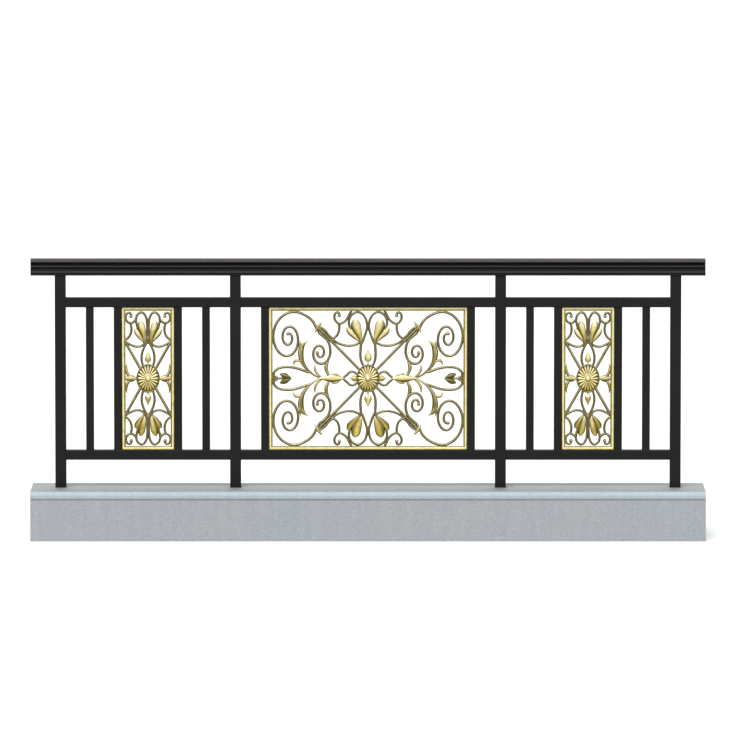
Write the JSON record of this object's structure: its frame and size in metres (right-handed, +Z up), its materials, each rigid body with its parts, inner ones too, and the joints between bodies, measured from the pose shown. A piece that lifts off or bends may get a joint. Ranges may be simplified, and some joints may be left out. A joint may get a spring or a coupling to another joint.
{
  "type": "metal boundary grille",
  "caption": "Black tubular boundary grille with a moulded handrail, pickets and gilt cast scroll panels, standing on a stone plinth with a rounded coping.",
  "frame": {"origin": "ground level under the middle of the plinth's underside", "axes": "+X along the grille to the right, +Y from the street side to the house side, +Z up"},
  "size_m": [3.082, 0.36, 1.281],
  "materials": {
    "stone": "fine-sawn blue-grey granite",
    "black_coat": "satin black powder coat on aluminium",
    "gilt_casting": "antique gold paint, darker in the recesses, on cast aluminium"
  },
  "bodies": {
    "root": {"plinth_wall": "stone", "plinth_coping": "stone", "handrail_carrier": "black_coat", "handrail_cover": "black_coat", "post_left_end": "black_coat", "post_left_inner": "black_coat", "post_right_inner": "black_coat", "post_right_end": "black_coat", "upper_rail_left_bay": "black_coat", "upper_rail_centre_bay": "black_coat", "upper_rail_right_bay": "black_coat", "lower_rail_left_bay": "black_coat", "lower_rail_centre_bay": "black_coat", "lower_rail_right_bay": "black_coat", "picket_left_bay_inner": "black_coat", "picket_left_bay_outer": "black_coat", "picket_right_bay_inner": "black_coat", "picket_right_bay_outer": "black_coat", "stile_left_bay_inner": "black_coat", "stile_left_bay_outer": "black_coat", "stile_right_bay_inner": "black_coat", "stile_right_bay_outer": "black_coat", "stile_centre_bay_left": "black_coat", "stile_centre_bay_right": "black_coat", "ornament_left_bay": "gilt_casting", "ornament_centre_bay": "gilt_casting", "ornament_right_bay": "gilt_casting"}
  },
  "joints": []
}
